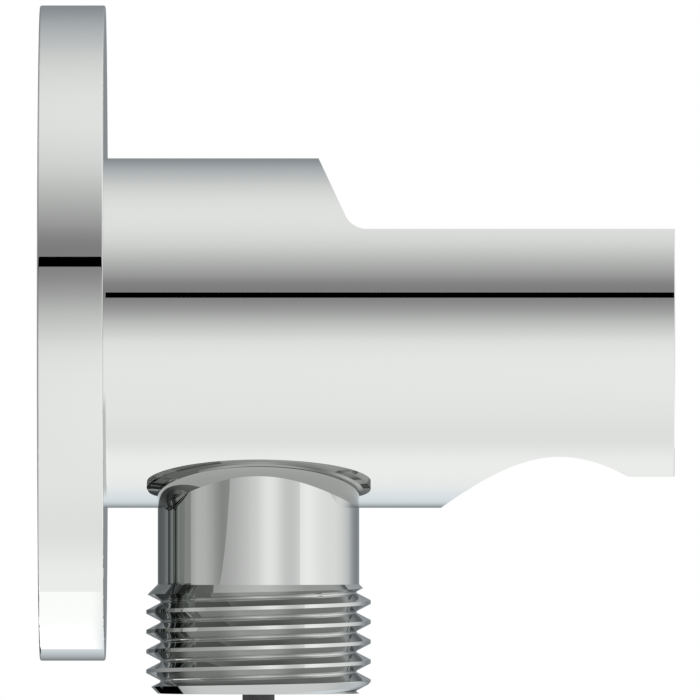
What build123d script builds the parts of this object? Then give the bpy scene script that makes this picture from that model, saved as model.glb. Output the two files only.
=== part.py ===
from build123d import *

import math
import os

# Wall outlet elbow for a shower hose, with a fork at its front end that carries the handset.
# Water enters from the wall along X, turns down inside the body and leaves through the check
# valve in the outlet nipple. The origin is the centre of the inlet's mouth, on the wall.
# +X points out of the wall and +Z points up. All sizes are in millimetres.

# Body: one brass casting, turned, bored and chrome plated.
BODY_D = 32.0
BODY_L = 58.0
STEP_TOP_X = 25.5
STEP_ANGLE = 25.0
STEP_FILLET = 2.0
FLAT_Z = 9.5

# Inlet: female G1/2 that screws onto the nipple in the wall.
INLET_MINOR_D = 18.63
INLET_DEPTH = 12.0
INLET_MOUTH_CHAMFER = 0.4
WATERWAY_D = 11.0
WATERWAY_TOP_Z = 5.5

# Outlet neck and male G1/2 nipple, vertical.
OUTLET_X = 20.0
NECK_D = 18.45
NIPPLE_TOP_Z = -23.0
NIPPLE_L = 10.0
NIPPLE_CREST_D = 20.56
VALVE_BORE_D = 14.4
VALVE_BORE_DEPTH = 12.2
VALVE_MOUTH_CHAMFER = 0.3

# Handset fork: a seat that tapers at its foot, open to the front through the hose slot.
SEAT_X = 47.5
SEAT_D = 24.0
SEAT_FOOT_D = 21.6
SEAT_TAPER = 6.4
SLOT_W = 18.3

# Wall flange: a turned rosette, hollow behind, that slides over the body up to the wall.
FLANGE_D = 60.0
FLANGE_T = 6.0
FLANGE_FRONT_WALL = 1.8
FLANGE_RIM_W = 5.4
HUB_WALL = 2.2
HUB_SETBACK = 1.2
HUB_GAP = 0.1

# Rubber ring on the body that grips the flange's hub, and the foam gasket in its rim.
HUB_RING_X = 3.7
HUB_RING_SECTION = 1.8
GASKET_T = 1.4
GASKET_W = 3.2
GASKET_LIP = 1.4
GASKET_GAP = 0.1

# Check valve cartridge, pushed up into the nipple.
VALVE_GAP = 0.05
HOUSING_L = 11.6
SEAT_BORE_D = 7.0
SEAT_BORE_L = 3.4
CHAMBER_D = 11.2
VALVE_RING_SECTION = 1.5
VALVE_RING_DROP = 1.9

# Spider at the cartridge's mouth that guides the plunger's stem.
GUIDE_T = 1.4
GUIDE_RIM_W = 0.6
GUIDE_RIM_LEDGE = 0.4
GUIDE_HUB_D = 6.8
GUIDE_SPOKES = 3
GUIDE_SPOKE_W = 1.3

# Plunger with its sealing ring and spring. The stem's tip shows below the nipple, and the
# spring's thin wire is drawn with four flats.
STEM_D = 2.95
STEM_GAP = 0.08
STEM_SHOWING = 1.4
HEAD_D = 9.2
HEAD_T = 1.0
SPIGOT_D = 4.8
CAP_D = 5.8
CAP_T = 0.6
SEAL_T = 1.4
SEAL_GAP = 0.06
SPRING_WIRE_D = 0.45
SPRING_D = 5.8
SPRING_TURNS = 3.5
WIRE_SIDES = 4

# Rubber rings are drawn squeezed between their walls, flat there on a share of their width,
# and a groove is wider than its ring.
RING_SQUEEZE = 0.2
RING_ROOM = 0.5
RING_FLAT = 0.56
FIT_GAP = 0.02

BODY_R = BODY_D / 2
NIPPLE_END_Z = NIPPLE_TOP_Z - NIPPLE_L
NIPPLE_CHAMFER = (NIPPLE_CREST_D - NECK_D) / 2
HUB_BORE_R = BODY_R + HUB_GAP
HOUSING_TOP_Z = NIPPLE_END_Z + VALVE_BORE_DEPTH
HOUSING_END_Z = HOUSING_TOP_Z - HOUSING_L
HOUSING_R = VALVE_BORE_D / 2 - VALVE_GAP
SEAT_CONE_Z = HOUSING_TOP_Z - SEAT_BORE_L
GUIDE_TOP_Z = HOUSING_END_Z + GUIDE_T
HEAD_TOP_Z = SEAT_CONE_Z - SEAL_T
HEAD_END_Z = HEAD_TOP_Z - HEAD_T


def turned_on_x(points):
    """A solid turned about the X axis from (x, radius) points."""
    return revolve(Plane.XZ * make_face(Polyline(*points, close=True)), axis=Axis.X)


def turned_on_outlet(points):
    """A solid turned about the outlet's vertical axis from (radius, z) points."""
    solid = revolve(Plane.XZ * make_face(Polyline(*points, close=True)), axis=Axis.Z)
    return Pos(OUTLET_X, 0, 0) * solid


def rubber_ring(inner_r, outer_r, section):
    """A rubber ring about Z, squeezed flat against its inner and outer walls."""
    inner_r, outer_r = inner_r + FIT_GAP, outer_r - FIT_GAP
    middle_r = (inner_r + outer_r) / 2
    half_w = (section + RING_SQUEEZE) / 2
    flat_w = half_w * RING_FLAT
    outline = Polyline(
        (inner_r, -flat_w),
        (middle_r, -half_w),
        (outer_r, -flat_w),
        (outer_r, flat_w),
        (middle_r, half_w),
        (inner_r, flat_w),
        close=True,
    )
    return revolve(Plane.XZ * make_face(outline), axis=Axis.Z)


def ring_groove_depth(section, gap):
    """How deep a groove is cut so that a ring in it is squeezed against the wall outside."""
    return section - RING_SQUEEZE - gap


def body_blank():
    """The horizontal barrel, the neck and the nipple, before anything is bored."""
    barrel = turned_on_x([(0, 0), (BODY_L, 0), (BODY_L, BODY_R), (0, BODY_R)])
    neck_r, crest_r = NECK_D / 2, NIPPLE_CREST_D / 2
    neck = turned_on_outlet(
        [
            (0, 0),
            (neck_r, 0),
            (neck_r, NIPPLE_TOP_Z),
            (crest_r, NIPPLE_TOP_Z - NIPPLE_CHAMFER),
            (crest_r, NIPPLE_END_Z + NIPPLE_CHAMFER),
            (neck_r, NIPPLE_END_Z),
            (0, NIPPLE_END_Z),
        ]
    )
    return barrel + neck


def step_cutter():
    """What is milled off above the fork: a flat, with a sloping face rounded into it."""
    foot_x = STEP_TOP_X + (BODY_R - FLAT_Z) * math.tan(math.radians(STEP_ANGLE))
    over = BODY_R
    top_x = STEP_TOP_X - over * math.tan(math.radians(STEP_ANGLE))
    outline = make_face(
        Polyline(
            (foot_x, FLAT_Z),
            (BODY_L + over, FLAT_Z),
            (BODY_L + over, BODY_R + over),
            (top_x, BODY_R + over),
            close=True,
        )
    )
    corner = outline.vertices().sort_by_distance((foot_x, FLAT_Z, 0))[0]
    outline = fillet(corner, STEP_FILLET)
    return extrude(Plane.XZ * outline, amount=BODY_D, both=True)


def seat_cutter():
    """The handset's seat, tapered at its foot, and the slot that lets the hose in."""
    seat_r, foot_r = SEAT_D / 2, SEAT_FOOT_D / 2
    taper_h = (seat_r - foot_r) / math.tan(math.radians(SEAT_TAPER))
    over = BODY_R
    through_r = foot_r - over * math.tan(math.radians(SEAT_TAPER))
    profile = Polyline(
        (0, -BODY_R - over),
        (through_r, -BODY_R - over),
        (seat_r, -BODY_R + taper_h),
        (seat_r, BODY_R),
        (0, BODY_R),
        close=True,
    )
    seat = Pos(SEAT_X, 0, 0) * revolve(Plane.XZ * make_face(profile), axis=Axis.Z)
    slot_l = BODY_L + over - SEAT_X
    slot = Pos(SEAT_X + slot_l / 2, 0, 0) * Box(slot_l, SLOT_W, 4 * BODY_R)
    return seat + slot


def inlet_cutter():
    """The threaded inlet's bore, with a broken edge at the wall, and the way on to the outlet."""
    minor_r, way_r = INLET_MINOR_D / 2, WATERWAY_D / 2
    return turned_on_x(
        [
            (0, 0),
            (0, minor_r + INLET_MOUTH_CHAMFER),
            (INLET_MOUTH_CHAMFER, minor_r),
            (INLET_DEPTH, minor_r),
            (INLET_DEPTH, way_r),
            (OUTLET_X, way_r),
            (OUTLET_X, 0),
        ]
    )


def outlet_cutter():
    """The waterway down the neck and the wider bore for the check valve."""
    way_r, valve_r = WATERWAY_D / 2, VALVE_BORE_D / 2
    return turned_on_outlet(
        [
            (0, WATERWAY_TOP_Z),
            (way_r, WATERWAY_TOP_Z),
            (way_r, HOUSING_TOP_Z),
            (valve_r, HOUSING_TOP_Z),
            (valve_r, NIPPLE_END_Z + VALVE_MOUTH_CHAMFER),
            (valve_r + VALVE_MOUTH_CHAMFER, NIPPLE_END_Z),
            (0, NIPPLE_END_Z),
        ]
    )


def hub_ring_groove():
    """The groove round the body, inside the flange's hub, for the rubber ring."""
    half_w = (HUB_RING_SECTION + RING_ROOM) / 2
    floor_r = BODY_R - ring_groove_depth(HUB_RING_SECTION, HUB_GAP)
    outside_r = BODY_R + HUB_RING_SECTION
    return turned_on_x(
        [
            (HUB_RING_X - half_w, floor_r),
            (HUB_RING_X + half_w, floor_r),
            (HUB_RING_X + half_w, outside_r),
            (HUB_RING_X - half_w, outside_r),
        ]
    )


def elbow_body():
    body = body_blank() - step_cutter() - seat_cutter()
    return body - inlet_cutter() - outlet_cutter() - hub_ring_groove()


def wall_flange():
    """The rosette: a front disc with a hub round the body and a rim that takes the gasket."""
    rim_r = FLANGE_D / 2
    lip_r = rim_r - GASKET_LIP
    hollow_r = rim_r - FLANGE_RIM_W
    hub_r = HUB_BORE_R + HUB_WALL
    floor_x = FLANGE_T - FLANGE_FRONT_WALL
    return turned_on_x(
        [
            (0, rim_r),
            (FLANGE_T, rim_r),
            (FLANGE_T, HUB_BORE_R),
            (HUB_SETBACK, HUB_BORE_R),
            (HUB_SETBACK, hub_r),
            (floor_x, hub_r),
            (floor_x, hollow_r),
            (GASKET_T, hollow_r),
            (GASKET_T, lip_r),
            (0, lip_r),
        ]
    )


def wall_gasket():
    """The flat foam ring that lies in the flange's rim, level with its lip on the wall."""
    outer_r = FLANGE_D / 2 - GASKET_LIP - GASKET_GAP
    inner_r = outer_r - GASKET_W
    return turned_on_x([(0, inner_r), (GASKET_T, inner_r), (GASKET_T, outer_r), (0, outer_r)])


def flange_o_ring():
    """The rubber ring that holds the flange on the body by friction."""
    floor_r = BODY_R - ring_groove_depth(HUB_RING_SECTION, HUB_GAP)
    ring = rubber_ring(floor_r, HUB_BORE_R, HUB_RING_SECTION)
    return Pos(HUB_RING_X, 0, 0) * Rot(0, 90, 0) * ring


def valve_ring_z():
    """The height of the cartridge's outer rubber ring."""
    return HOUSING_TOP_Z - VALVE_RING_DROP


def valve_ring_floor_r():
    """The radius of the floor of that ring's groove."""
    return HOUSING_R - ring_groove_depth(VALVE_RING_SECTION, VALVE_GAP)


def valve_housing():
    """The cartridge: a sleeve with a conical valve seat inside and a ring groove outside."""
    seat_r, chamber_r = SEAT_BORE_D / 2, CHAMBER_D / 2
    rebate_r = chamber_r + GUIDE_RIM_LEDGE
    half_w = (VALVE_RING_SECTION + RING_ROOM) / 2
    groove_top_z = valve_ring_z() + half_w
    groove_end_z = valve_ring_z() - half_w
    return turned_on_outlet(
        [
            (seat_r, HOUSING_TOP_Z),
            (HOUSING_R, HOUSING_TOP_Z),
            (HOUSING_R, groove_top_z),
            (valve_ring_floor_r(), groove_top_z),
            (valve_ring_floor_r(), groove_end_z),
            (HOUSING_R, groove_end_z),
            (HOUSING_R, HOUSING_END_Z),
            (rebate_r, HOUSING_END_Z),
            (rebate_r, GUIDE_TOP_Z),
            (chamber_r, GUIDE_TOP_Z),
            (chamber_r, SEAT_CONE_Z - (chamber_r - seat_r)),
            (seat_r, SEAT_CONE_Z),
        ]
    )


def valve_o_ring():
    """The rubber ring that seals the cartridge in the nipple's bore."""
    ring = rubber_ring(valve_ring_floor_r(), VALVE_BORE_D / 2, VALVE_RING_SECTION)
    return Pos(OUTLET_X, 0, valve_ring_z()) * ring


def valve_guide():
    """The spider: a rim in the cartridge's mouth, spokes, and a hub bored for the stem."""
    rim_r = CHAMBER_D / 2 + GUIDE_RIM_LEDGE - FIT_GAP
    rim_inner_r = rim_r - GUIDE_RIM_LEDGE - GUIDE_RIM_W
    hub_r = GUIDE_HUB_D / 2
    bore_r = STEM_D / 2 + STEM_GAP
    foot = Align.CENTER, Align.CENTER, Align.MIN
    rim = Cylinder(rim_r, GUIDE_T, align=foot) - Cylinder(rim_inner_r, GUIDE_T, align=foot)
    hub = Cylinder(hub_r, GUIDE_T, align=foot)
    spoke_l = (rim_r + rim_inner_r) / 2
    spoke = Box(spoke_l, GUIDE_SPOKE_W, GUIDE_T, align=(Align.MIN, Align.CENTER, Align.MIN))
    spider = rim + hub
    for turn in range(GUIDE_SPOKES):
        spider += Rot(0, 0, 180 + turn * 360 / GUIDE_SPOKES) * spoke
    spider -= Cylinder(bore_r, GUIDE_T, align=foot)
    return Pos(OUTLET_X, 0, HOUSING_END_Z) * spider


def valve_plunger():
    """The plunger: a stem, a head that the spring lifts, and a capped spigot for the seal."""
    stem_r, head_r = STEM_D / 2, HEAD_D / 2
    spigot_r, cap_r = SPIGOT_D / 2, CAP_D / 2
    tip_z = NIPPLE_END_Z - STEM_SHOWING
    return turned_on_outlet(
        [
            (0, tip_z),
            (stem_r, tip_z),
            (stem_r, HEAD_END_Z),
            (head_r, HEAD_END_Z),
            (head_r, HEAD_TOP_Z),
            (spigot_r, HEAD_TOP_Z),
            (spigot_r, SEAT_CONE_Z),
            (cap_r, SEAT_CONE_Z),
            (cap_r, SEAT_CONE_Z + CAP_T),
            (0, SEAT_CONE_Z + CAP_T),
        ]
    )


def plunger_seal():
    """The rubber ring on the spigot, bevelled like the seat it closes against."""
    inner_r = SPIGOT_D / 2 + FIT_GAP
    seat_r = SEAT_BORE_D / 2
    side_gap = SEAL_GAP * math.sqrt(2)
    top_z, foot_z = SEAT_CONE_Z - FIT_GAP, HEAD_TOP_Z
    return turned_on_outlet(
        [
            (inner_r, foot_z),
            (seat_r + (SEAT_CONE_Z - foot_z) - side_gap, foot_z),
            (seat_r + (SEAT_CONE_Z - top_z) - side_gap, top_z),
            (inner_r, top_z),
        ]
    )


def valve_spring():
    """The return spring, from the spider's hub up to the plunger's head."""
    wire_r, coil_r = SPRING_WIRE_D / 2, (SPRING_D - SPRING_WIRE_D) / 2
    foot_z = GUIDE_TOP_Z + wire_r + FIT_GAP
    height = HEAD_END_Z - wire_r - FIT_GAP - foot_z
    path = Helix(pitch=height / SPRING_TURNS, height=height, radius=coil_r)
    start = Plane(origin=path @ 0, z_dir=path % 0)
    wire = RegularPolygon(wire_r, WIRE_SIDES)
    return Pos(OUTLET_X, 0, foot_z) * sweep(start * wire, path=path, is_frenet=True)


PIECES = {
    "elbow_body": elbow_body,
    "wall_flange": wall_flange,
    "flange_o_ring": flange_o_ring,
    "wall_gasket": wall_gasket,
    "valve_housing": valve_housing,
    "valve_o_ring": valve_o_ring,
    "valve_guide": valve_guide,
    "valve_plunger": valve_plunger,
    "plunger_seal": plunger_seal,
    "valve_spring": valve_spring,
}

os.makedirs("parts", exist_ok=True)
for name, make in PIECES.items():
    export_step(make(), f"parts/{name}.step")
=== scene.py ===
import math

import bpy
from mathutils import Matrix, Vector


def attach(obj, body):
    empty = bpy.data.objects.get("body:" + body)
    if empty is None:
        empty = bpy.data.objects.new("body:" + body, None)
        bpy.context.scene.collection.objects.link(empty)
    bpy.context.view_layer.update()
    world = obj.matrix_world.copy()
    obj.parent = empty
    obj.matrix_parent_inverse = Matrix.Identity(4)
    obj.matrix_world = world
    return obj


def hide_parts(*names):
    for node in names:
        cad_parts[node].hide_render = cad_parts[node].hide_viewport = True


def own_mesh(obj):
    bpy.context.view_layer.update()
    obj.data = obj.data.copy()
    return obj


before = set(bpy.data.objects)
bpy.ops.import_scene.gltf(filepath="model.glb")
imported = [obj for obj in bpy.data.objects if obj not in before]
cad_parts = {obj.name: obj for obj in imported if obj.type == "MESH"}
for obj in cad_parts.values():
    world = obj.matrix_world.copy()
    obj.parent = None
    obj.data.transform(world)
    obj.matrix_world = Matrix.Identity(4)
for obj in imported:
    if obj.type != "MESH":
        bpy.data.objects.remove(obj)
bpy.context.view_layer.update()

MM = 0.001


# The studio: a long lens level with the fitting and square to its side, as in a catalogue
# picture. The fitting hangs on a wall that isn't shown, over a wide pale table.
# Metal is lit by a white tent round the whole object, with a black slot under the top light.
class Wire:
    """A value on its way through a mix of nodes. Sums on it are written as plain sums."""

    def __init__(self, bench, socket):
        self.bench = bench
        self.socket = socket

    def part(self, name):
        return Wire(self.bench, self.socket.node.outputs[name])

    def maths(self, operation, first, second):
        settings = {"operation": operation}
        return self.bench.node("ShaderNodeMath", settings, {0: first, 1: second})

    def __add__(self, other):
        return self.maths("ADD", self, other)

    def __radd__(self, other):
        return self.maths("ADD", other, self)

    def __sub__(self, other):
        return self.maths("SUBTRACT", self, other)

    def __rsub__(self, other):
        return self.maths("SUBTRACT", other, self)

    def __mul__(self, other):
        return self.maths("MULTIPLY", self, other)

    def __rmul__(self, other):
        return self.maths("MULTIPLY", other, self)

    def __truediv__(self, other):
        return self.maths("DIVIDE", self, other)

    def __pow__(self, other):
        return self.maths("POWER", self, other)

    def __neg__(self):
        return self.maths("MULTIPLY", self, -1.0)

    def __gt__(self, other):
        return self.maths("GREATER_THAN", self, other)

    def __lt__(self, other):
        return self.maths("LESS_THAN", self, other)

    def size(self):
        return self.maths("ABSOLUTE", self, 0.0)

    def between(self, low, high):
        """0 below the low value, 1 above the high one, and a soft rise between them."""
        settings = {"interpolation_type": "SMOOTHSTEP"}
        return self.bench.node("ShaderNodeMapRange", settings, {0: self, 1: low, 2: high})

    def toned(self, stops):
        """The tone at this place on a strip of tones, given as (place, tone) from 0 to 1."""
        settings = {"curve": "CARDINAL", "stops": stops}
        return self.bench.node("ShaderNodeValToRGB", settings, {0: self})


class Bench:
    """Where a finish or the studio's light is mixed from nodes."""

    def __init__(self, tree):
        self.tree = tree
        tree.nodes.clear()

    def node(self, kind, settings=None, sockets=None, out=0):
        made = self.tree.nodes.new(kind)
        for name, value in (settings or {}).items():
            if name == "curve":
                made.color_ramp.interpolation = value
            elif name == "stops":
                ramp = made.color_ramp.elements
                while len(ramp) < len(value):
                    ramp.new(1.0)
                for stop, (place, tone) in zip(ramp, value):
                    stop.position = place
                    stop.color = (tone, tone, tone, 1.0)
            else:
                setattr(made, name, value)
        for key, value in (sockets or {}).items():
            if isinstance(value, Wire):
                self.tree.links.new(value.socket, made.inputs[key])
            else:
                made.inputs[key].default_value = value
        return Wire(self, made.outputs[out]) if made.outputs else None


# The picture's width at the fitting and its middle, and the lens that gives that width from
# far enough away for the rosette's rim to look almost flat.
FRAME_WIDTH = 64.1 * MM
FRAME_X = 28.38 * MM
FRAME_Z = -1.55 * MM
LENS = 1600.0
SENSOR = 36.0
bpy.ops.object.camera_add(
    location=(FRAME_X, -FRAME_WIDTH * LENS / SENSOR, FRAME_Z),
    rotation=(math.pi / 2, 0, 0),
)
camera = bpy.context.object
camera.data.lens = LENS
camera.data.sensor_width = SENSOR
camera.data.clip_start = 0.1
camera.data.clip_end = 20.0
bpy.context.scene.camera = camera
bpy.context.scene.view_settings.view_transform = "Standard"

# The tent's tones go round the X axis, from straight behind (0), past the table to the
# camera's side (0.5), up past the slot to the top light and down behind again (1).
# Each tone on a strip is a share of FULL.
FULL = 1.5
ROUND_TONES = [
    (0.0, 0.17), (0.035, 0.23), (0.08, 0.62), (0.145, 0.84), (0.235, 0.93), (0.29, 0.82),
    (0.35, 0.855), (0.46, 0.865), (0.493, 0.75), (0.53, 0.46), (0.57, 0.235), (0.606, 0.35),
    (0.665, 0.69), (0.745, 0.83), (0.83, 0.62), (0.91, 0.34), (1.0, 0.17),
]
# From the wall's side (0) to the front end (1), multiplied with the tones above.
SIDE_TONES = [
    (0.0, 0.33), (0.2, 0.39), (0.305, 0.475), (0.41, 0.57), (0.5, 0.667), (0.6, 0.80),
    (0.69, 0.72), (0.77, 0.56), (0.86, 0.58), (0.915, 0.76), (0.96, 0.86), (1.0, 0.86),
]
# What a second reflection sees, between turned surfaces, in place of the side tones.
SECOND_TONES = [
    (0.0, 0.20), (0.2, 0.30), (0.5, 0.727), (0.65, 0.56), (0.81, 0.45), (0.851, 0.475),
    (0.894, 0.60), (0.933, 0.735), (0.9635, 0.80), (0.985, 0.79), (0.998, 0.64), (1.0, 0.57),
]
SLOT_UP = math.radians(25.0)
SLOT_HALF = math.radians(1.8)
PANEL_EDGE = 0.75
PANEL_LIFT = 0.4
END_TONE = 0.82
END_RISE = 0.33
DARK_CORNER = (-0.4, 0.79, -0.47)
ROUND_LEVEL = 1.09
SECOND_BELOW = 0.84

world = bpy.data.worlds.new("studio")
bpy.context.scene.world = world
world.use_nodes = True
tent = Bench(world.node_tree)
# The way that a ray leaves by: its share along the barrel, away from the camera and up.
way = tent.node("ShaderNodeSeparateXYZ", None, {0: tent.node("ShaderNodeTexCoord")})
along, deep, up = way.part("X"), way.part("Y"), way.part("Z")
turn = up.maths("ARCTAN2", up, -deep)

# A first reflection sees the two strips, brighter past the panel's edge, and a plain tone at
# either end, lighter at the front. The slot and a corner low behind the wall are black.
round_tone = (turn / (2 * math.pi) + 0.5).toned(ROUND_TONES) * FULL
side_tone = (along * 0.5 + 0.5).toned(SIDE_TONES) * FULL
straight_down = (-up).between(0.6, 0.85)
side_tone = side_tone * (1.0 - straight_down) + straight_down
panel = 1.0 + PANEL_LIFT * (along > PANEL_EDGE)
end_share = along.size() ** 3.0
end_tone = END_TONE + END_RISE * along
slot = turn.maths("COMPARE", turn, SLOT_UP)
slot.socket.node.inputs[2].default_value = SLOT_HALF
slot = slot * (PANEL_EDGE > along.size())
corner_x, corner_y, corner_z = DARK_CORNER
corner = (along * corner_x + deep * corner_y + up * corner_z).between(0.945, 0.955)
first_tone = round_tone * side_tone * panel * (1.0 - end_share) + end_tone * end_share
first_tone = first_tone * (1.0 - slot) * (1.0 - corner)

# A second reflection shows in the neck, in the ring under the barrel and in the thread.
second_tone = (along * 0.5 + 0.5).toned(SECOND_TONES) * FULL
second_tone = second_tone * (round_tone / ROUND_LEVEL * (1.0 - end_share) + end_share)
second_tone = second_tone * (1.0 - straight_down) + SECOND_BELOW * straight_down

# Third and deeper ones see a plain tone sideways, darker above than below. What leaves
# steeply, or backwards and off the level, is darker still. Fourth and fifth ones are
# lifted again. The tones are chosen for the thread.
SIDEWAYS_TONE = 0.98
SIDEWAYS_FALL = 0.4
TILTED_LOSS = 0.35
STEEP_LOSS = 0.6
BACK_LOSS = 0.7
FOURTH_GAIN = 0.4
FIFTH_GAIN = 1.2
sideways = along.size().between(0.3, 0.75)
tilted = TILTED_LOSS * up.size().between(0.02, 0.12)
sideways_tone = SIDEWAYS_TONE * (1.0 - tilted) - SIDEWAYS_FALL * up
third_tone = round_tone * (1.0 - sideways) + sideways_tone * sideways
steep = STEEP_LOSS * up.size().between(0.35, 0.75)
off_level = up.size().between(0.009, 0.012)
backwards = deep.between(-0.1, 0.4) * off_level * (1.0 - along.between(0.73, 0.8))
backwards = BACK_LOSS * backwards

# Glossy Depth is 1 at a first reflection, 2 at a second and so on.
bounces = tent.node("ShaderNodeLightPath", out="Glossy Depth")
second, third = bounces > 1.5, bounces > 2.5
fourth, fifth = bounces > 3.5, bounces > 4.5
lifted = FOURTH_GAIN * fourth * (1.0 - off_level) + FIFTH_GAIN * fifth
third_tone = third_tone * (1.0 - steep) * (1.0 - backwards) * (1.0 + lifted)
tent_tone = first_tone * (1.0 - second) + second_tone * (second - third) + third_tone * third

# The camera itself sees plain white, and the tent's far side is a little colder.
seen = tent.node("ShaderNodeLightPath", out="Is Camera Ray")
shown = tent_tone * (1.0 - seen) + seen
behind = deep.between(0.35, 0.95)
cold = {"Factor": behind * (1.0 - seen), 6: (1, 1, 1, 1), 7: (0.93, 1.0, 1.06, 1)}
hue = tent.node("ShaderNodeMix", {"data_type": "RGBA"}, cold, out=2)
glow = tent.node("ShaderNodeBackground", None, {"Color": hue, "Strength": shown})
tent.node("ShaderNodeOutputWorld", None, {"Surface": glow})

# The table lies below the picture, and mirrors don't show it.
TABLE_R = 500
TABLE_X = 30
TABLE_Z = -40
bpy.ops.object.select_all(action="DESELECT")
bpy.ops.mesh.primitive_circle_add(
    vertices=128,
    radius=TABLE_R * MM,
    fill_type="NGON",
    location=(TABLE_X * MM, 0, TABLE_Z * MM),
)
table = bpy.context.object
table.name = "pale_table"
bpy.ops.object.transform_apply(location=True, rotation=True, scale=True)
table.visible_glossy = False

# A white card lies under the rosette, out of the picture, and shows in its rim. It fades out
# towards the neck, and only a first reflection sees it.
CARD_PLACE = Vector((1, -4, -38)) * MM
CARD_LENGTH = 26
CARD_WIDTH = 22
CARD_WHITE = 1.62
FADE_START = 4.5
FADE_END = 6.5
bpy.ops.mesh.primitive_plane_add(size=1, location=CARD_PLACE)
card = bpy.context.object
card.name = "under_card"
card.scale = (CARD_LENGTH * MM, CARD_WIDTH * MM, 1)
bpy.ops.object.transform_apply(location=True, rotation=True, scale=True)
card.visible_camera = False
card.visible_diffuse = False
card.visible_transmission = False
card.visible_shadow = False
card_light = bpy.data.materials.new("card_light")
card_light.use_nodes = True
lamp = Bench(card_light.node_tree)
place = lamp.node("ShaderNodeTexCoord", out="Object")
across = lamp.node("ShaderNodeSeparateXYZ", None, {0: place})
fade = across.part("X").between(FADE_START * MM, FADE_END * MM)
second_look = lamp.node("ShaderNodeLightPath", out="Glossy Depth") > 1.5
fade = fade.maths("MAXIMUM", fade, second_look)
clear = lamp.node("ShaderNodeBsdfTransparent")
lit = lamp.node("ShaderNodeEmission", None, {"Strength": CARD_WHITE})
shade = lamp.node("ShaderNodeMixShader", None, {0: fade, 1: lit, 2: clear})
lamp.node("ShaderNodeOutputMaterial", None, {"Surface": shade})
card.data.materials.append(card_light)

# The thread's flanks mirror each other many times over.
bpy.context.scene.cycles.glossy_bounces = 12
bpy.context.scene.cycles.min_light_bounces = 10


def finish(name, look):
    """A new finish, and the bench that it is mixed on. The look gives the plain values."""
    made = bpy.data.materials.new(name)
    made.use_nodes = True
    mix = Bench(made.node_tree)
    shader = mix.node("ShaderNodeBsdfPrincipled", None, look)
    mix.node("ShaderNodeOutputMaterial", None, {"Surface": shader})
    mix.shader = shader.socket.node
    mix.place = mix.node("ShaderNodeTexCoord", out="Object")
    return made, mix


def spotted(mix, scale, detail=3.0, stretch=(1, 1, 1)):
    """An even, fine mottle from 0 to 1 in the piece's own place, so many spots to the metre."""
    place = mix.node("ShaderNodeMapping", None, {"Vector": mix.place, "Scale": stretch})
    sockets = {"Vector": place, "Scale": scale, "Detail": detail}
    return mix.node("ShaderNodeTexNoise", None, sockets)


def feed(mix, name, value):
    mix.tree.links.new(value.socket, mix.shader.inputs[name])


def mixed(mix, share, first, second):
    """A colour between two, by the share of the second."""
    sockets = {"Factor": share, 6: (*first, 1), 7: (*second, 1)}
    return mix.node("ShaderNodeMix", {"data_type": "RGBA"}, sockets, out=2)


def dented(mix, height, depth):
    """Presses the height pattern into the surface, to so many metres."""
    bump = mix.node("ShaderNodeBump", None, {"Height": height, "Distance": depth, "Strength": 1.0})
    feed(mix, "Normal", bump)


table_paint, mix = finish("pale_table_paint", {"Roughness": 0.9, "Specular IOR Level": 0.2})
feed(mix, "Base Color", mixed(mix, spotted(mix, 60.0), (0.86, 0.86, 0.85), (0.9, 0.9, 0.89)))
table.data.materials.append(table_paint)


# The elbow itself: one brass casting, turned, milled and bored, then polished and chrome
# plated. The horizontal barrel screws onto the wall's pipe, and the short neck below it
# ends in the G1/2 thread for the hose. The front is milled to a fork for the handset.
def turned(name, rings, axis="Z", at=(0, 0), sides=256, hollow=False):
    """A piece turned on the X or Z axis, drawn ring after ring from (radius, place along).
    A hollow one goes through its bore and back to its first ring. Sizes in millimetres."""
    lying = axis == "X"
    line = Vector((1, 0, 0)) if lying else Vector((0, 0, 1))
    centre = Vector((0, at[0], at[1])) if lying else Vector((at[0], at[1], 0))
    radius, place = rings[0]
    bpy.ops.object.select_all(action="DESELECT")
    bpy.ops.mesh.primitive_circle_add(
        vertices=sides,
        radius=radius * MM,
        fill_type="NOTHING" if hollow else "NGON",
        location=(centre + line * place) * MM,
        rotation=(0, math.pi / 2 if lying else 0, 0),
    )
    piece = bpy.context.object
    piece.name = name
    bpy.ops.object.transform_apply(location=True, rotation=True, scale=True)
    bpy.ops.object.mode_set(mode="EDIT")
    for next_radius, next_place in rings[1:] + rings[:1] * hollow:
        step = line * (next_place - place) * MM
        bpy.ops.mesh.extrude_region_move(TRANSFORM_OT_translate={"value": step})
        grow = next_radius / radius
        bpy.ops.transform.resize(
            value=(1, grow, grow) if lying else (grow, grow, 1),
            center_override=(centre + line * next_place) * MM,
        )
        radius, place = next_radius, next_place
    bpy.ops.mesh.select_all(action="SELECT")
    bpy.ops.mesh.remove_doubles(threshold=1e-6)
    bpy.ops.mesh.normals_make_consistent(inside=False)
    bpy.ops.object.mode_set(mode="OBJECT")
    return piece


def block(name, low, high):
    """A milled block between two corners, in millimetres."""
    low, high = Vector(low) * MM, Vector(high) * MM
    bpy.ops.object.select_all(action="DESELECT")
    bpy.ops.mesh.primitive_cube_add(size=1, location=(low + high) / 2, scale=high - low)
    bpy.context.object.name = name
    bpy.ops.object.transform_apply(location=True, rotation=True, scale=True)
    return bpy.context.object


def pick(piece, wanted):
    """Opens the piece for editing with only the wanted points selected, and what joins them."""
    bpy.ops.object.mode_set(mode="OBJECT")
    bpy.ops.object.select_all(action="DESELECT")
    piece.select_set(True)
    bpy.context.view_layer.objects.active = piece
    bpy.ops.object.mode_set(mode="EDIT")
    bpy.ops.mesh.select_mode(type="VERT")
    bpy.ops.mesh.select_all(action="DESELECT")
    bpy.ops.object.mode_set(mode="OBJECT")
    for point in piece.data.vertices:
        point.select = bool(wanted(point.co / MM))
    bpy.ops.object.mode_set(mode="EDIT")


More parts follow.
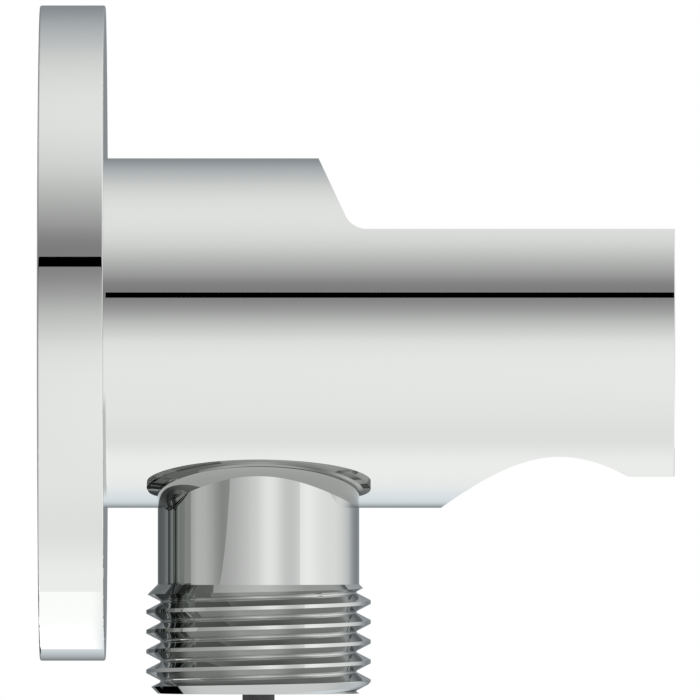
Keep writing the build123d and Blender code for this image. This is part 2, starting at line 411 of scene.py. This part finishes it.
def apply(piece, kind, **settings):
    """Puts one modifier on the piece and makes it part of the mesh."""
    bpy.ops.object.select_all(action="DESELECT")
    piece.select_set(True)
    bpy.context.view_layer.objects.active = piece
    modifier = piece.modifiers.new("step", kind)
    for name, value in settings.items():
        setattr(modifier, name, value)
    bpy.ops.object.modifier_apply(modifier=modifier.name)


def cut(piece, tool, how="DIFFERENCE"):
    """Cuts the piece with a tool, or joins the tool to it, and puts the tool away."""
    apply(piece, "BOOLEAN", operation=how, solver="EXACT", object=tool)
    bpy.data.objects.remove(tool)


def trued(piece, corner=30.0):
    """Smooth shading that keeps corners crisp and lets the broad faces rule the small ones."""
    bpy.ops.object.select_all(action="DESELECT")
    piece.select_set(True)
    bpy.context.view_layer.objects.active = piece
    bpy.ops.object.shade_smooth_by_angle(angle=math.radians(corner))
    apply(piece, "WEIGHTED_NORMAL", mode="FACE_AREA", weight=50, keep_sharp=True)


PITCH = 25.4 / 14
FLANK = math.radians(27.5)
ROOT_FLAT = 0.145


def thread_groove(name, mouth_r, root_r, foot, turns, relief):
    """The cutter for a thread: its V section, wound up a helix from the foot's height.
    The section has rounded corners, so that the crests and the root are eased."""
    depth = abs(mouth_r - root_r)
    outward = 1 if mouth_r > root_r else -1
    mouth_w = ROOT_FLAT + 2 * depth * math.tan(FLANK)
    middle = (mouth_r + root_r) / 2
    bpy.ops.object.select_all(action="DESELECT")
    bpy.ops.mesh.primitive_plane_add(size=1, rotation=(math.pi / 2, 0, 0))
    cutter = bpy.context.object
    cutter.name = name
    cutter.scale = (depth * MM, mouth_w * MM, 1)
    cutter.location = (middle * MM, 0, foot * MM)
    bpy.ops.object.transform_apply(location=True, rotation=True, scale=True)
    pick(cutter, lambda p: abs(p.x - root_r) < 1e-3)
    bpy.ops.transform.resize(
        value=(1, 1, ROOT_FLAT / mouth_w), center_override=(root_r * MM, 0, foot * MM)
    )
    bpy.ops.mesh.bevel(offset=0.06 * MM, segments=2, affect="VERTICES")
    pick(cutter, lambda p: abs(p.x - mouth_r) < 1e-3)
    bpy.ops.mesh.extrude_region_move(
        TRANSFORM_OT_translate={"value": (outward * relief * MM, 0, 0)}
    )
    pick(cutter, lambda p: abs(p.x - mouth_r) < 1e-3)
    bpy.ops.mesh.dissolve_edges(use_verts=False)
    pick(cutter, lambda p: abs(p.x - mouth_r) < 1e-3)
    bpy.ops.mesh.bevel(offset=0.07 * MM, segments=2, affect="VERTICES")
    bpy.ops.mesh.select_all(action="SELECT")
    bpy.ops.mesh.delete(type="ONLY_FACE")
    bpy.ops.object.mode_set(mode="OBJECT")
    whole = int(math.ceil(turns))
    apply(
        cutter,
        "SCREW",
        axis="Z",
        angle=2 * math.pi * turns / whole,
        screw_offset=PITCH * turns / whole * MM,
        iterations=whole,
        steps=160,
        render_steps=160,
        use_merge_vertices=False,
    )
    bpy.ops.object.mode_set(mode="EDIT")
    bpy.ops.mesh.select_all(action="SELECT")
    bpy.ops.mesh.fill_holes(sides=0)
    bpy.ops.mesh.select_all(action="SELECT")
    bpy.ops.mesh.normals_make_consistent(inside=False)
    bpy.ops.object.mode_set(mode="OBJECT")
    return cutter


BODY_R = 16.0
BODY_L = 58.0
BACK_EASE = 0.1
FRONT_EASE = 0.08
OUTLET_X = 20.0
NECK_TOP = -4.0
NECK_R = 9.225
CREST_R = 10.283
ROOT_R = 8.987
NIPPLE_TOP = -23.0
NIPPLE_END = -33.0
SHOULDER = CREST_R - NECK_R

body = turned(
    "elbow_casting",
    [
        (BODY_R - BACK_EASE, 0),
        (BODY_R, BACK_EASE),
        (BODY_R, BODY_L - FRONT_EASE),
        (BODY_R - FRONT_EASE, BODY_L),
    ],
    axis="X",
    sides=2048,
)
neck = turned(
    "neck",
    [
        (NECK_R, NECK_TOP),
        (NECK_R, NIPPLE_TOP),
        (CREST_R, NIPPLE_TOP - SHOULDER),
        (CREST_R, NIPPLE_END + SHOULDER),
        (NECK_R, NIPPLE_END),
    ],
    at=(OUTLET_X, 0),
    sides=640,
)

# The hose thread is right-handed, and starts at the back of the nipple's upper chamfer.
FIRST_ROOT = -23.72
groove = thread_groove(
    "hose_groove", CREST_R, ROOT_R, foot=FIRST_ROOT - 6 * PITCH, turns=6.11, relief=0.5
)
groove.location.x = OUTLET_X * MM
bpy.ops.object.transform_apply(location=True, rotation=True, scale=True)
cut(neck, groove)
cut(body, neck, "UNION")

# The flat over the fork and its sloping end wall, rounded into each other. The 2 mm fillet
# reaches so far along each of the two faces.
STEP_TOP = 25.5
FLAT_Z = 9.5
CUTTER_TOP = 30
LEAN = math.tan(math.radians(25))
FILLET_REACH = 1.274
STEP_FOOT = STEP_TOP + (BODY_R - FLAT_Z) * LEAN
flat = block("flat_cutter", (STEP_FOOT, -20, FLAT_Z), (70, 20, CUTTER_TOP))
pick(flat, lambda p: p.x < STEP_FOOT + 1 and p.z > CUTTER_TOP - 1)
bpy.ops.transform.translate(value=(-(CUTTER_TOP - FLAT_Z) * LEAN * MM, 0, 0))
pick(flat, lambda p: p.x < STEP_FOOT + 1 and p.z < FLAT_Z + 1)
bpy.ops.mesh.bevel(offset=FILLET_REACH * MM, segments=16, affect="EDGES")
bpy.ops.object.mode_set(mode="OBJECT")
cut(body, flat)

# The handset's seat, tapered at its foot, and the slot that lets the hose in from the front.
# Both cutters reach well past the barrel, and the seat's cone runs on down to there.
SEAT_X = 47.5
SEAT_R = 12.0
TAPER_TOP = -5.3
TAPER_FOOT_R = 9.005
SLOT_HALF_W = 9.15
PAST_BODY = 2 * BODY_R
seat = [(TAPER_FOOT_R, -PAST_BODY), (SEAT_R, TAPER_TOP), (SEAT_R, BODY_R)]
cut(body, turned("seat_cutter", seat, at=(SEAT_X, 0)))
slot_low = (SEAT_X, -SLOT_HALF_W, -PAST_BODY)
slot_high = (BODY_L + BODY_R, SLOT_HALF_W, PAST_BODY)
cut(body, block("slot_cutter", slot_low, slot_high))

# The bores: the threaded inlet, the waterway round the corner and the check valve's bore.
INLET_R = 9.315
INLET_ROOT_R = 10.477
INLET_DEPTH = 12
INLET_CHAMFER = 0.4
PAST_WALL = 1
WATERWAY_R = 5.5
WATERWAY_TOP = 5.5
VALVE_BORE_R = 7.2
VALVE_BORE_TOP = -20.8
MOUTH_CHAMFER = 0.3
PAST_MOUTH = 1
inlet = [
    (INLET_R + INLET_CHAMFER + PAST_WALL, -PAST_WALL),
    (INLET_R, INLET_CHAMFER),
    (INLET_R, INLET_DEPTH),
]
cut(body, turned("inlet_cutter", inlet, axis="X"))
groove = thread_groove(
    "inlet_groove", INLET_R, INLET_ROOT_R, foot=-1.6, turns=6.6, relief=0.35
)
groove.rotation_euler = (0, math.pi / 2, 0)
bpy.ops.object.transform_apply(location=True, rotation=True, scale=True)
cut(body, groove)
way_in = [(WATERWAY_R, INLET_DEPTH - 1), (WATERWAY_R, OUTLET_X)]
cut(body, turned("way_in_cutter", way_in, axis="X", sides=128))
way_out = [
    (WATERWAY_R, WATERWAY_TOP),
    (WATERWAY_R, VALVE_BORE_TOP),
    (VALVE_BORE_R, VALVE_BORE_TOP),
    (VALVE_BORE_R, NIPPLE_END + MOUTH_CHAMFER),
    (VALVE_BORE_R + MOUTH_CHAMFER + PAST_MOUTH, NIPPLE_END - PAST_MOUTH),
]
cut(body, turned("way_out_cutter", way_out, at=(OUTLET_X, 0)))

# The groove for the rubber ring that grips the rosette's hub.
GROOVE_X = 3.7
GROOVE_HALF_W = 1.15
GROOVE_FLOOR_R = 14.5
PAST_GROOVE_R = 17.8
ring_groove = [
    (GROOVE_FLOOR_R, GROOVE_X - GROOVE_HALF_W),
    (GROOVE_FLOOR_R, GROOVE_X + GROOVE_HALF_W),
    (PAST_GROOVE_R, GROOVE_X + GROOVE_HALF_W),
    (PAST_GROOVE_R, GROOVE_X - GROOVE_HALF_W),
]
cut(body, turned("ring_groove_cutter", ring_groove, axis="X", hollow=True))

# The shading turns crisp at 15 degrees, so that the thread's flanks stay flat beside their
# eased edges.
trued(body, 15.0)

# The nipple's end, from its chamfer down, is duller than the rest.
CHROME = (0.588, 0.598, 0.588)
DULL_CHROME = (0.40, 0.41, 0.405)
chrome, mix = finish("polished_chrome", {"Metallic": 1.0})
height = mix.node("ShaderNodeSeparateXYZ", None, {0: mix.place}).part("Z")
turned_end = height < (NIPPLE_END + SHOULDER - 0.02) * MM
feed(mix, "Base Color", mixed(mix, turned_end, CHROME, DULL_CHROME))
feed(mix, "Roughness", 0.004 + spotted(mix, 90.0, 4.0) * 0.012)
body.data.materials.append(chrome)
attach(body, "fitting")
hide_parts("elbow_body")


# The wall flange: a turned brass rosette, chrome plated like the body. Its hub slides over
# the barrel, and its hollow back hides the wall's hole.
ROSETTE_R = 30.0
ROSETTE_T = 6.0
HUB_BORE_R = 16.1
HUB_R = 18.3
HUB_BACK = 1.2
HOLLOW_R = 24.6
HOLLOW_FLOOR = 4.2
LIP_R = 28.6
GASKET_T = 1.4
flange = turned(
    "wall_rosette",
    [
        (ROSETTE_R, 0),
        (ROSETTE_R, ROSETTE_T),
        (HUB_BORE_R, ROSETTE_T),
        (HUB_BORE_R, HUB_BACK),
        (HUB_R, HUB_BACK),
        (HUB_R, HOLLOW_FLOOR),
        (HOLLOW_R, HOLLOW_FLOOR),
        (HOLLOW_R, GASKET_T),
        (LIP_R, GASKET_T),
        (LIP_R, 0),
    ],
    axis="X",
    sides=512,
    hollow=True,
)
apply(flange, "BEVEL", width=0.18 * MM, segments=3, limit_method="ANGLE")
trued(flange)
flange.data.materials.append(chrome)
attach(flange, "fitting")
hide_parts("wall_flange")

# The foam gasket: a flat ring of closed-cell rubber foam, cut from sheet and pressed into the
# rosette's rim, so that the rosette sits tight on the tiles.
GASKET_R = 28.5
GASKET_BORE_R = 25.3
gasket = turned(
    "foam_gasket",
    [(GASKET_BORE_R, 0), (GASKET_BORE_R, GASKET_T), (GASKET_R, GASKET_T), (GASKET_R, 0)],
    axis="X",
    sides=192,
    hollow=True,
)
apply(gasket, "BEVEL", width=0.12 * MM, segments=2, limit_method="ANGLE")
trued(gasket)
foam, mix = finish("closed_cell_foam", {"Specular IOR Level": 0.25})
cells = mix.node("ShaderNodeTexVoronoi", None, {"Vector": mix.place, "Scale": 2600.0})
patches = spotted(mix, 240.0)
grain = cells * 0.7 + patches * 0.3
feed(mix, "Base Color", mixed(mix, grain, (0.012, 0.012, 0.013), (0.045, 0.045, 0.047)))
feed(mix, "Roughness", 0.78 + patches * 0.15)
dented(mix, cells, 0.00012)
gasket.data.materials.append(foam)
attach(gasket, "fitting")
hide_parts("wall_gasket")


# The rubber rings: one in the barrel's groove that grips the rosette's hub, and one that
# seals the valve cartridge in the nipple. Moulded black rubber, squeezed oval in its groove.
def rubber_ring(name, at, ring_r, half_radial, half_axial, lying):
    bpy.ops.object.select_all(action="DESELECT")
    bpy.ops.mesh.primitive_torus_add(
        major_radius=ring_r * MM,
        minor_radius=half_radial * MM,
        major_segments=144,
        minor_segments=24,
        location=Vector(at) * MM,
        rotation=(0, math.pi / 2 if lying else 0, 0),
    )
    ring = bpy.context.object
    ring.name = name
    bpy.ops.object.transform_apply(location=True, rotation=True, scale=True)
    swell = half_axial / half_radial
    bpy.ops.object.mode_set(mode="EDIT")
    bpy.ops.mesh.select_all(action="SELECT")
    bpy.ops.transform.resize(
        value=(swell, 1, 1) if lying else (1, 1, swell), center_override=Vector(at) * MM
    )
    bpy.ops.object.mode_set(mode="OBJECT")
    trued(ring, 60.0)
    ring.data.materials.append(rubber)
    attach(ring, "fitting")
    return ring


rubber, mix = finish("moulded_black_rubber", {"Specular IOR Level": 0.4})
bloom = spotted(mix, 500.0, 4.0)
feed(mix, "Base Color", mixed(mix, bloom, (0.008, 0.008, 0.008), (0.022, 0.021, 0.02)))
feed(mix, "Roughness", 0.42 + bloom * 0.2)
dented(mix, spotted(mix, 2500.0), 0.000012)
CARTRIDGE_RING_Z = -22.7
hub_ring = rubber_ring(
    "hub_ring",
    (GROOVE_X, 0, 0),
    ring_r=15.3,
    half_radial=0.78,
    half_axial=1.0,
    lying=True,
)
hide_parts("flange_o_ring")
cartridge_ring = rubber_ring(
    "cartridge_ring",
    (OUTLET_X, 0, CARTRIDGE_RING_Z),
    ring_r=6.55,
    half_radial=0.63,
    half_axial=0.85,
    lying=False,
)
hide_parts("valve_o_ring")


# The check valve's cartridge: a white acetal sleeve with a conical seat, pushed up into the
# nipple, and a spider clipped into its mouth that guides the plunger's stem.
CARTRIDGE_R = 7.15
SPIDER_LOW = -32.4
SPIDER_TOP = -31.0
REBATE_R = 6.0
CHAMBER_R = 5.6
SEAT_BORE_R = 3.5
SEAT_CONE_TOP = -24.2
SEAT_CONE_FOOT = -26.3
RING_FLOOR_R = 5.9
GROOVE_HALF_H = 1.0
cartridge = turned(
    "valve_cartridge",
    [
        (SEAT_BORE_R, VALVE_BORE_TOP),
        (CARTRIDGE_R, VALVE_BORE_TOP),
        (CARTRIDGE_R, CARTRIDGE_RING_Z + GROOVE_HALF_H),
        (RING_FLOOR_R, CARTRIDGE_RING_Z + GROOVE_HALF_H),
        (RING_FLOOR_R, CARTRIDGE_RING_Z - GROOVE_HALF_H),
        (CARTRIDGE_R, CARTRIDGE_RING_Z - GROOVE_HALF_H),
        (CARTRIDGE_R, SPIDER_LOW),
        (REBATE_R, SPIDER_LOW),
        (REBATE_R, SPIDER_TOP),
        (CHAMBER_R, SPIDER_TOP),
        (CHAMBER_R, SEAT_CONE_FOOT),
        (SEAT_BORE_R, SEAT_CONE_TOP),
    ],
    at=(OUTLET_X, 0),
    sides=128,
    hollow=True,
)
apply(cartridge, "BEVEL", width=0.15 * MM, segments=2, limit_method="ANGLE")
trued(cartridge)

RIM_R = 5.98
RIM_BORE_R = 4.98
SPIDER_HUB_R = 3.4
STEM_HOLE_R = 1.555
SPOKE_HALF_W = 0.65


def spider_ring(name, bore_r, outer_r, sides):
    """A flat ring of the spider, the whole of its height."""
    rings = [
        (bore_r, SPIDER_LOW),
        (bore_r, SPIDER_TOP),
        (outer_r, SPIDER_TOP),
        (outer_r, SPIDER_LOW),
    ]
    return turned(name, rings, at=(OUTLET_X, 0), sides=sides, hollow=True)


spider = spider_ring("valve_spider", RIM_BORE_R, RIM_R, sides=128)
hub = spider_ring("spider_hub", STEM_HOLE_R, SPIDER_HUB_R, sides=96)
apply(hub, "BEVEL", width=0.15 * MM, segments=2, limit_method="ANGLE")
cut(spider, hub, "UNION")
for turn_by in (60, 180, 300):
    spoke = block("spoke", (3.0, -SPOKE_HALF_W, SPIDER_LOW), (5.4, SPOKE_HALF_W, SPIDER_TOP))
    pick(spoke, lambda p: p.z < SPIDER_LOW + 0.01)
    bpy.ops.mesh.bevel(offset=0.3 * MM, segments=3, affect="EDGES")
    bpy.ops.object.mode_set(mode="OBJECT")
    spoke.rotation_euler = (0, 0, math.radians(turn_by))
    spoke.location.x = OUTLET_X * MM
    bpy.ops.object.transform_apply(location=True, rotation=True, scale=True)
    cut(spider, spoke, "UNION")
trued(spider)

acetal, mix = finish("white_acetal", {"Specular IOR Level": 0.5})
cloud = spotted(mix, 220.0)
feed(mix, "Base Color", mixed(mix, cloud, (0.70, 0.70, 0.66), (0.78, 0.78, 0.75)))
feed(mix, "Roughness", 0.34 + cloud * 0.14)
dented(mix, spotted(mix, 3000.0), 0.000006)
for piece, node in ((cartridge, "valve_housing"), (spider, "valve_guide")):
    piece.data.materials.append(acetal)
    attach(piece, "fitting")
    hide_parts(node)


# The plunger: dark grey acetal, turned from one piece, with the stem that shows below the
# nipple, a head for the spring and a capped spigot. A bevelled rubber seal snaps over the cap.
TIP_Z = -34.4
STEM_R = 1.475
HEAD_R = 4.6
HEAD_LOW = -26.6
HEAD_TOP = -25.6
HEAD_EASE = 0.1
SPIGOT_R = 2.4
CAP_R = 2.9
CAP_TOP = -23.6
CAP_EASE = 0.15
plunger = turned(
    "valve_stem",
    [
        (1.1, TIP_Z),
        (1.35, TIP_Z + 0.07),
        (STEM_R, TIP_Z + 0.3),
        (STEM_R, HEAD_LOW),
        (HEAD_R - HEAD_EASE, HEAD_LOW),
        (HEAD_R, HEAD_LOW + HEAD_EASE),
        (HEAD_R, HEAD_TOP - HEAD_EASE),
        (HEAD_R - HEAD_EASE, HEAD_TOP),
        (SPIGOT_R, HEAD_TOP),
        (SPIGOT_R, SEAT_CONE_TOP),
        (CAP_R, SEAT_CONE_TOP),
        (CAP_R, CAP_TOP - CAP_EASE),
        (CAP_R - CAP_EASE, CAP_TOP),
    ],
    at=(OUTLET_X, 0),
    sides=128,
)
trued(plunger)
grey_acetal, mix = finish("dark_grey_acetal", {"Specular IOR Level": 0.5})
cloud = spotted(mix, 400.0)
feed(mix, "Base Color", mixed(mix, cloud, (0.045, 0.045, 0.046), (0.07, 0.07, 0.071)))
feed(mix, "Roughness", 0.36 + cloud * 0.16)
dented(mix, spotted(mix, 3000.0), 0.000006)
plunger.data.materials.append(grey_acetal)
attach(plunger, "plunger")
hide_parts("valve_plunger")

SEAL_BORE_R = 2.42
SEAL_FOOT_R = 4.815
SEAL_TOP_R = 3.435
SEAL_TOP = -24.22
seal = turned(
    "stem_seal",
    [
        (SEAL_BORE_R, HEAD_TOP),
        (SEAL_FOOT_R, HEAD_TOP),
        (SEAL_TOP_R, SEAL_TOP),
        (SEAL_BORE_R, SEAL_TOP),
    ],
    at=(OUTLET_X, 0),
    sides=128,
    hollow=True,
)
apply(seal, "BEVEL", width=0.12 * MM, segments=2, limit_method="ANGLE")
trued(seal)
seal.data.materials.append(rubber)
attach(seal, "plunger")
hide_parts("plunger_seal")


# The return spring: drawn stainless wire, wound with a closed coil at each end, standing on
# the spider's hub and pressing the plunger's head up against the seat.
WIRE_R = 0.225
COIL_R = 2.675
SPRING_FOOT = -30.755
SPRING_RISE = 3.91
CLOSED_RISE = 0.46
coils = []
for foot, rise, turns in (
    (SPRING_FOOT, CLOSED_RISE, 1),
    (SPRING_FOOT + CLOSED_RISE, SPRING_RISE - 2 * CLOSED_RISE, 2),
    (SPRING_FOOT + SPRING_RISE - CLOSED_RISE, CLOSED_RISE, 1),
):
    bpy.ops.object.select_all(action="DESELECT")
    bpy.ops.mesh.primitive_circle_add(
        vertices=16,
        radius=WIRE_R * MM,
        location=(COIL_R * MM, 0, foot * MM),
        rotation=(math.pi / 2, 0, 0),
    )
    coil = bpy.context.object
    bpy.ops.object.transform_apply(location=True, rotation=True, scale=True)
    apply(
        coil,
        "SCREW",
        axis="Z",
        angle=2 * math.pi,
        screw_offset=rise / turns * MM,
        iterations=turns,
        steps=64,
        render_steps=64,
        use_merge_vertices=False,
    )
    coils.append(coil)
bpy.ops.object.select_all(action="DESELECT")
for coil in coils:
    coil.select_set(True)
spring = coils[0]
spring.name = "return_spring"
bpy.context.view_layer.objects.active = spring
bpy.ops.object.join()
spring.location.x = OUTLET_X * MM
bpy.ops.object.transform_apply(location=True, rotation=True, scale=True)
bpy.ops.object.mode_set(mode="EDIT")
bpy.ops.mesh.select_all(action="SELECT")
bpy.ops.mesh.remove_doubles(threshold=1e-6)
bpy.ops.mesh.fill_holes(sides=0)
bpy.ops.mesh.select_all(action="SELECT")
bpy.ops.mesh.normals_make_consistent(inside=False)
bpy.ops.object.mode_set(mode="OBJECT")
trued(spring, 50.0)
wire, mix = finish(
    "drawn_stainless_wire", {"Metallic": 1.0, "Base Color": (0.56, 0.56, 0.55, 1)}
)
drawn = spotted(mix, 1500.0, 2.0, (1, 1, 4))
feed(mix, "Roughness", 0.2 + drawn * 0.15)
dented(mix, drawn, 0.000004)
spring.data.materials.append(wire)
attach(spring, "fitting")
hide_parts("valve_spring")
# As fitted it is 4.36 mm tall, and it loses the plunger's 2.2 mm of travel.
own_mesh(spring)
